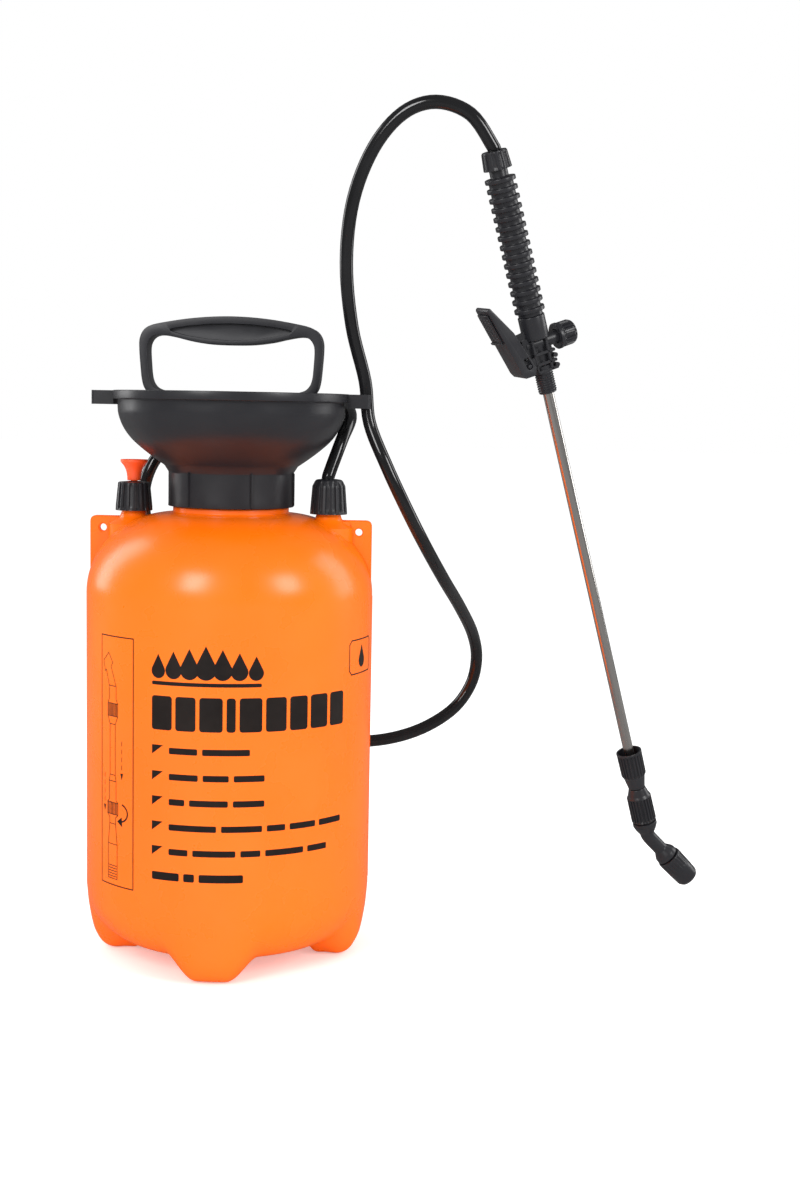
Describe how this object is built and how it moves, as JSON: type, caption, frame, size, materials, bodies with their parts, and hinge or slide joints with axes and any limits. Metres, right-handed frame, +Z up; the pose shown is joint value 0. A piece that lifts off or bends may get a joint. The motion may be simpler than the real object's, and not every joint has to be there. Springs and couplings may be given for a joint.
{
  "type": "hand-pumped pressure sprayer",
  "caption": "Hand-pumped pressure sprayer: orange bottle tank, black filling funnel with plunger pump and handle, relief valve, hose, trigger grip and steel lance with angled nozzle.",
  "frame": {"origin": "centre of the bounding box in plan, on the floor under the feet; the hose does not count", "axes": "+Z up, parallel to the tank and pump axis; the two funnel ears and tank lugs lie along X, with the outlet, hose and lance on the +X side; the lance leans towards -Y"},
  "size_m": [0.4106, 0.2281, 0.5469],
  "materials": {
    "tank_orange": "satin",
    "black_plastic": "satin",
    "red_plastic": "satin",
    "white_plastic": "satin",
    "rubber": "matte",
    "stainless": "satin",
    "hose_vinyl": "gloss"
  },
  "bodies": {
    "root": {"tank": "tank_orange", "funnel": "black_plastic", "neck_gasket": "rubber", "relief_nut": "black_plastic", "relief_seat": "black_plastic", "relief_spring": "stainless", "outlet_nut": "black_plastic", "outlet_tail": "white_plastic", "dip_tube": "white_plastic", "dip_tube_strainer": "black_plastic", "hose": "hose_vinyl", "hose_nut": "black_plastic", "hose_tail": "white_plastic", "grip": "black_plastic", "grip_strainer": "white_plastic", "valve_body": "black_plastic", "valve_cap": "black_plastic", "trigger_pin": "stainless", "lance_tube": "stainless", "tube_seal": "rubber", "elbow_nut": "black_plastic", "elbow_ferrule": "rubber"},
    "pump_seal": {"pump_seal_ring": "rubber"},
    "pump": {"pump_cap": "black_plastic", "rod_bush": "white_plastic", "pump_barrel": "white_plastic", "foot_valve_cage": "black_plastic", "check_valve": "rubber"},
    "piston_seal": {"piston_cup": "rubber"},
    "plunger": {"handle": "black_plastic", "plunger_rod": "white_plastic", "piston": "white_plastic"},
    "relief_valve": {"relief_knob": "red_plastic", "relief_seal": "rubber"},
    "trigger": {"trigger": "black_plastic"},
    "trigger_lock": {"trigger_lock": "black_plastic"},
    "valve_stem": {"valve_stem": "white_plastic", "stem_seal": "rubber", "valve_spring": "stainless"},
    "tube_nut": {"tube_nut": "black_plastic"},
    "elbow": {"nozzle_elbow": "black_plastic", "swirl_insert": "white_plastic"},
    "nozzle_seal": {"nozzle_seal": "rubber"},
    "nozzle": {"nozzle_cap": "black_plastic"}
  },
  "joints": [
    {"name": "pump_rise", "type": "slide", "parent": "root", "child": "pump_seal", "axis": [0, 0, 1], "range_m": [0, 0.006]},
    {"name": "pump_unscrew", "type": "hinge", "parent": "pump_seal", "child": "pump", "pos_m": [-0.1128, 0, 0.32], "axis": [0, 0, 1], "range_deg": [0, 720]},
    {"name": "plunger_stroke", "type": "slide", "parent": "pump", "child": "piston_seal", "axis": [0, 0, 1], "range_m": [0, 0.19]},
    {"name": "handle_turn", "type": "hinge", "parent": "piston_seal", "child": "plunger", "pos_m": [-0.1128, 0, 0.345], "axis": [0, 0, 1], "range_deg": [0, 60]},
    {"name": "relief_pull", "type": "slide", "parent": "root", "child": "relief_valve", "axis": [0, 0, 1], "range_m": [0, 0.0035], "stiffness_N_per_m": 300, "springref_m": -0.004, "deforming": ["relief_spring"]},
    {"name": "trigger_squeeze", "type": "hinge", "parent": "root", "child": "trigger", "pos_m": [0.07398, -0.01531, 0.38601], "axis": [-0.4604, 0.8834, 0.0869], "range_deg": [0, 12], "stiffness_Nm_per_rad": 0.6, "springref_deg": -8.59},
    {"name": "trigger_lock_slide", "type": "slide", "parent": "trigger", "child": "trigger_lock", "axis": [-0.49, -0.3345, 0.805], "range_m": [0, 0.004]},
    {"name": "valve_stem_slide", "type": "slide", "parent": "root", "child": "valve_stem", "axis": [0.8516, 0.412, 0.3242], "range_m": [0, 0.0024]},
    {"name": "tube_nut_slide", "type": "slide", "parent": "root", "child": "tube_nut", "axis": [-0.2506, -0.2232, 0.942], "range_m": [0, 0.2695]},
    {"name": "elbow_swivel", "type": "hinge", "parent": "root", "child": "elbow", "pos_m": [0.17093, 0.06668, 0.06605], "axis": [-0.2506, -0.2232, 0.942], "continuous": true},
    {"name": "nozzle_travel", "type": "slide", "parent": "elbow", "child": "nozzle_seal", "axis": [0.6814, 0.1962, -0.7051], "range_m": [0, 0.003]},
    {"name": "nozzle_turn", "type": "hinge", "parent": "nozzle_seal", "child": "nozzle", "pos_m": [0.17093, 0.06668, 0.06605], "axis": [0.6814, 0.1962, -0.7051], "range_deg": [0, 720]}
  ],
  "couplings": [
    {"joint": "pump_rise", "follows": "pump_unscrew", "m_per_rad": 0.00047746},
    {"joint": "valve_stem_slide", "follows": "trigger_squeeze", "m_per_rad": 0.0114},
    {"joint": "nozzle_travel", "follows": "nozzle_turn", "m_per_rad": 0.00023873}
  ]
}
